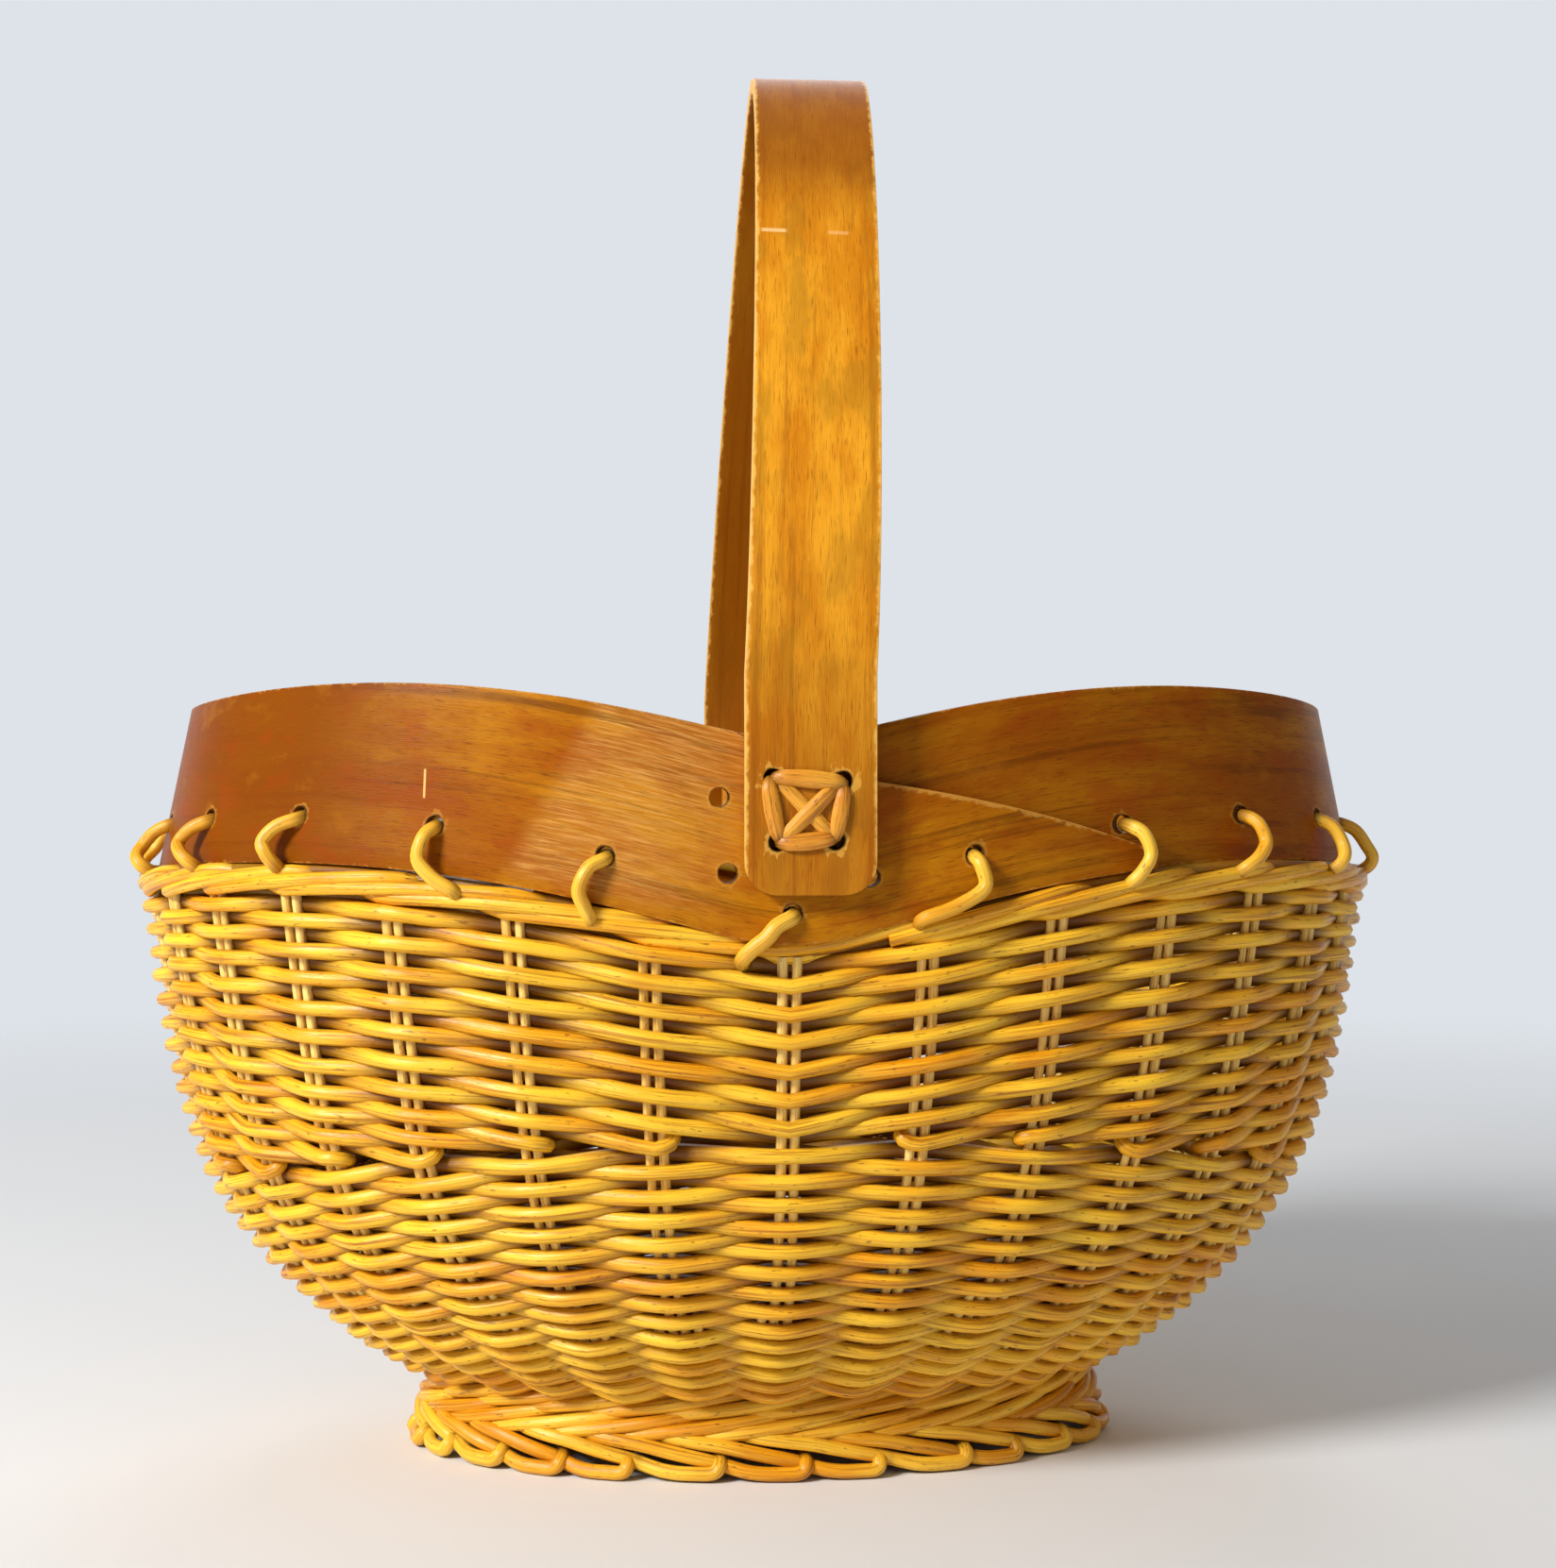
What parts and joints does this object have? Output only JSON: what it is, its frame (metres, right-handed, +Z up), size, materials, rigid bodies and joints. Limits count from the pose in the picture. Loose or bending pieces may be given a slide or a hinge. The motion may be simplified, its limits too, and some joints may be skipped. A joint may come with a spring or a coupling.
{
  "type": "wicker basket",
  "caption": "Oval reed basket with a bentwood rim band laced to the weave, a woven foot ring and a fixed flat bentwood handle for carrying.",
  "frame": {"origin": "middle of the foot ring, on the surface that the basket stands on", "axes": "+Z up, +X along the long way of the oval, -Y towards the front with the lapped ends of the band; the handle runs from front to rear"},
  "size_m": [0.3354, 0.218, 0.3656],
  "materials": {
    "handle_wood": "satin varnish",
    "band_wood": "satin varnish",
    "weaver_reed": "satin",
    "stake_reed": "satin",
    "lacing_reed": "satin"
  },
  "bodies": {
    "root": {"base_mat": "weaver_reed", "foot_border": "weaver_reed", "foot_wale": "weaver_reed", "handle": "handle_wood", "handle_tie_front": "lacing_reed", "handle_tie_rear": "lacing_reed", "rim_band": "band_wood", "rim_lacing": "lacing_reed", "stake_01": "stake_reed", "stake_02": "stake_reed", "stake_03": "stake_reed", "stake_04": "stake_reed", "stake_05": "stake_reed", "stake_06": "stake_reed", "stake_07": "stake_reed", "stake_08": "stake_reed", "stake_09": "stake_reed", "stake_10": "stake_reed", "stake_11": "stake_reed", "stake_12": "stake_reed", "stake_13": "stake_reed", "stake_14": "stake_reed", "stake_15": "stake_reed", "stake_16": "stake_reed", "stake_17": "stake_reed", "stake_18": "stake_reed", "stake_19": "stake_reed", "stake_20": "stake_reed", "stake_21": "stake_reed", "stake_22": "stake_reed", "stake_23": "stake_reed", "stake_24": "stake_reed", "stake_25": "stake_reed", "stake_26": "stake_reed", "stake_27": "stake_reed", "stake_28": "stake_reed", "stake_29": "stake_reed", "stake_30": "stake_reed", "stake_31": "stake_reed", "top_border": "weaver_reed", "wall_lower": "weaver_reed", "wall_upper": "weaver_reed"}
  },
  "joints": []
}
